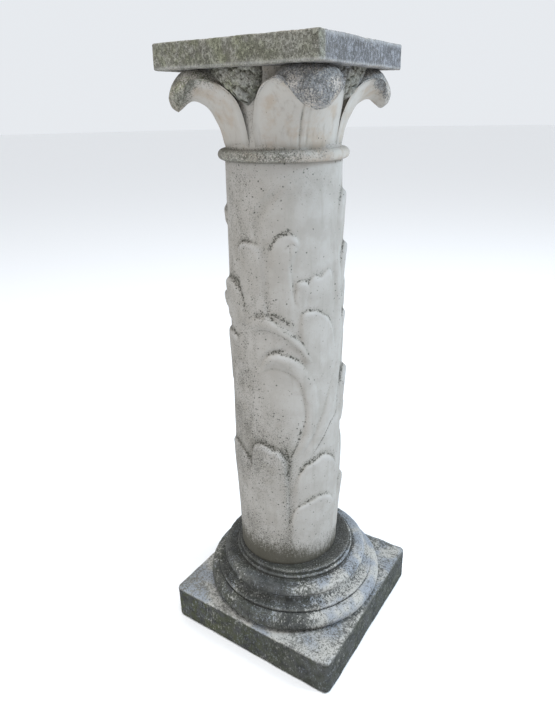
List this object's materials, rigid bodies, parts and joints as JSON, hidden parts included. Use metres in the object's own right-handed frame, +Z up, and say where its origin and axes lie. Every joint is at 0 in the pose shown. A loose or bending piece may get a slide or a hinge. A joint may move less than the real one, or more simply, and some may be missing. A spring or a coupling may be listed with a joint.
{
  "type": "carved stone garden column",
  "caption": "Garden column of pale stone: moulded base on a square plinth, tapered shaft carved in low relief, and a capital of curling corner leaves under a square abacus.",
  "frame": {"origin": "middle of the plinth's underside, where it meets the ground", "axes": "+Z up along the column, X and Y along the sides of the plinth"},
  "size_m": [0.4, 0.4, 1.21],
  "materials": {
    "weathered_stone": "dark weathered cast stone with pale lichen spots",
    "pale_stone": "smooth pale cast stone, dirt in the hollows",
    "lichened_stone": "pale cast stone, rough and lichened on top"
  },
  "bodies": {
    "root": {"base": "weathered_stone", "shaft": "pale_stone", "capital": "lichened_stone"}
  },
  "joints": []
}
